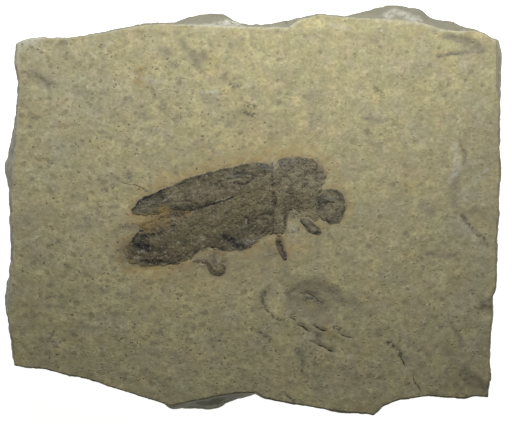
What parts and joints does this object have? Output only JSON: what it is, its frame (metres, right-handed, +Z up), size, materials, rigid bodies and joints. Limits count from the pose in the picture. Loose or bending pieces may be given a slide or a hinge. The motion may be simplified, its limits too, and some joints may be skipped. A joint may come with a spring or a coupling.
{
  "type": "fossil beetle on a stone slab",
  "caption": "Hand-sized slab of fine pale limestone with a flattened fossil beetle in its bedding face: head, chest plates, parted wing cases, abdomen and legs.",
  "frame": {"origin": "middle of the slab's flat underside", "axes": "+Z up out of the bedding face that shows the beetle, +X along the slab towards the beetle's head, +Y across it towards the beetle's left wing case"},
  "size_m": [0.0672, 0.0554, 0.0084],
  "materials": {
    "limestone": "matt, fine-grained, with small dark specks",
    "carbon_film": "carbonised shell, granular, dull with a faint sheen",
    "rusty_film": "thin rust-brown stained film, matt",
    "leg_film": "carbonised shell, granular, matt, brown"
  },
  "bodies": {
    "root": {"stone_slab": "limestone", "head": "carbon_film", "pronotum": "carbon_film", "neck": "carbon_film", "middle_chest": "carbon_film", "hind_chest": "carbon_film", "left_wing_case": "carbon_film", "right_wing_case": "carbon_film", "abdomen": "rusty_film", "front_leg": "leg_film", "middle_leg": "leg_film", "hind_leg": "leg_film", "hind_foot": "leg_film"}
  },
  "joints": []
}
